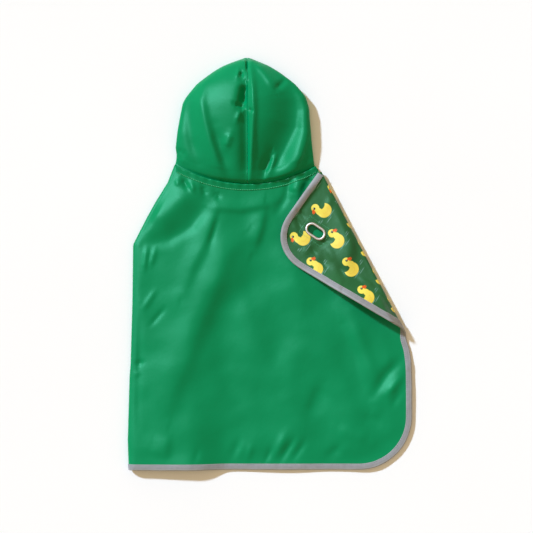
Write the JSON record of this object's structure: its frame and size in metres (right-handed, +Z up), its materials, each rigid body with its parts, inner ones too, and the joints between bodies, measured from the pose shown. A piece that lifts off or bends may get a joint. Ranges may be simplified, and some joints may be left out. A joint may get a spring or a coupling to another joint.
{
  "type": "dog rain poncho",
  "caption": "Hooded dog rain cape laid flat, back up, with one front corner folded back to show its printed lining, taped edges and a lead eyelet",
  "frame": {"origin": "on the surface that the cape lies on, under the middle of the cape", "axes": "+Y runs from the hem to the hood, +X to the right seen from above, +Z up from the surface"},
  "size_m": [0.3989, 0.577, 0.0319],
  "materials": {
    "shell": "coated polyester, green, satin",
    "lining": "woven cotton, green, with a small repeated yellow duck print",
    "tape": "woven reflective edge tape, grey",
    "metal": "plated, smooth"
  },
  "bodies": {
    "root": {"cape_shell": "shell", "cape_lining": "lining", "neck_band": "shell", "hood_left": "shell", "hood_right": "shell", "tape_right_front": "tape", "tape_right_side": "tape", "tape_hem": "tape", "tape_left_front": "tape", "eyelet": "metal"}
  },
  "joints": []
}
